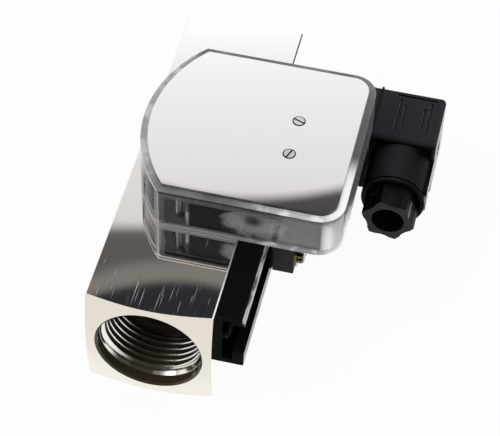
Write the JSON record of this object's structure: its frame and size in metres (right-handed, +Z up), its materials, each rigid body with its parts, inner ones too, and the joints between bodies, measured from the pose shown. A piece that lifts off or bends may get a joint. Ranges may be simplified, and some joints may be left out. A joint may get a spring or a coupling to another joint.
{
  "type": "variable area flow meter",
  "caption": "Inline flow meter: threaded square metal body with a spring-loaded magnetic piston, a side rail, and a sliding head with pointer, reed contact and plug.",
  "frame": {"origin": "middle of the flow body's underside", "axes": "+X towards the rail and the switch head, +Y along the flow, +Z up"},
  "size_m": [0.0936, 0.1318, 0.0573],
  "materials": {
    "nickel_brass": "polished nickel plating on brass",
    "black_anodised": "black anodised",
    "steel": "bright stainless steel",
    "blackened_steel": "black oxide",
    "brass": "bare turned brass",
    "bright_aluminium": "milled",
    "magnet": "hard ferrite",
    "grey_plastic": "dark grey moulding",
    "black_plastic": "black glass-filled moulding",
    "pointer_white": "moulded pointer",
    "clear": "clear polycarbonate",
    "polished_plate": "mirror-polished metal",
    "rubber": "moulded seal",
    "reed_glass": "sealed glass capsule"
  },
  "bodies": {
    "meter_body": {"flow_body": "nickel_brass", "c_rail": "black_anodised", "rail_screws": "blackened_steel", "metering_sleeve": "brass", "inlet_spider": "brass", "outlet_spider": "brass", "guide_rod": "steel", "retaining_ring": "steel", "piston_spring": "steel"},
    "piston_set": {"piston": "brass", "ring_magnet": "magnet", "magnet_clip": "steel"},
    "switch_head": {"slider_plate": "grey_plastic", "reed_contact": "reed_glass", "nut_bar": "bright_aluminium", "pivot_bracket": "bright_aluminium", "bracket_screws": "steel", "scale_drum": "black_plastic", "hood": "clear", "face_plate": "polished_plate", "face_screws": "steel", "terminal_box": "black_plastic", "box_cover": "black_plastic", "plug_base": "black_plastic", "contact_blades": "brass", "plug_gasket": "rubber", "plug_housing": "black_plastic", "contact_insert": "black_plastic", "gland_washer": "steel", "gland_seal": "rubber"},
    "pointer": {"pointer_axle": "steel", "pointer_arm": "pointer_white", "follower_magnet": "magnet"},
    "clamp_screw": {"clamp_screw": "brass"},
    "gland_nut": {"gland_nut": "black_plastic"},
    "plug_screw": {"plug_screw": "steel"}
  },
  "joints": [
    {"name": "piston_slide", "type": "slide", "parent": "meter_body", "child": "piston_set", "axis": [0, 1, 0], "range_m": [0, 0.039], "stiffness_N_per_m": 40, "springref_m": -0.01, "deforming": ["piston_spring"]},
    {"name": "head_slide", "type": "slide", "parent": "meter_body", "child": "switch_head", "axis": [0, 1, 0], "range_m": [-0.025, 0.003]},
    {"name": "pointer_swing", "type": "hinge", "parent": "switch_head", "child": "pointer", "pos_m": [0.0303, 0, 0.046], "axis": [0, 0, -1], "range_deg": [0, 80.1]},
    {"name": "clamp_turn", "type": "hinge", "parent": "switch_head", "child": "clamp_screw", "pos_m": [0.038, -0.0205, 0.0282], "axis": [1, 0, 0], "range_deg": [-180, 180]},
    {"name": "gland_turn", "type": "hinge", "parent": "switch_head", "child": "gland_nut", "pos_m": [0.0626, 0.0066, 0.0275], "axis": [0, 1, 0], "range_deg": [-180, 180]},
    {"name": "plug_screw_turn", "type": "hinge", "parent": "switch_head", "child": "plug_screw", "pos_m": [0.072, 0.0345, 0.0275], "axis": [1, 0, 0], "range_deg": [-180, 180]}
  ],
  "couplings": [
    {"joint": "pointer_swing", "follows": "piston_slide", "rad_per_m": 35.8}
  ]
}
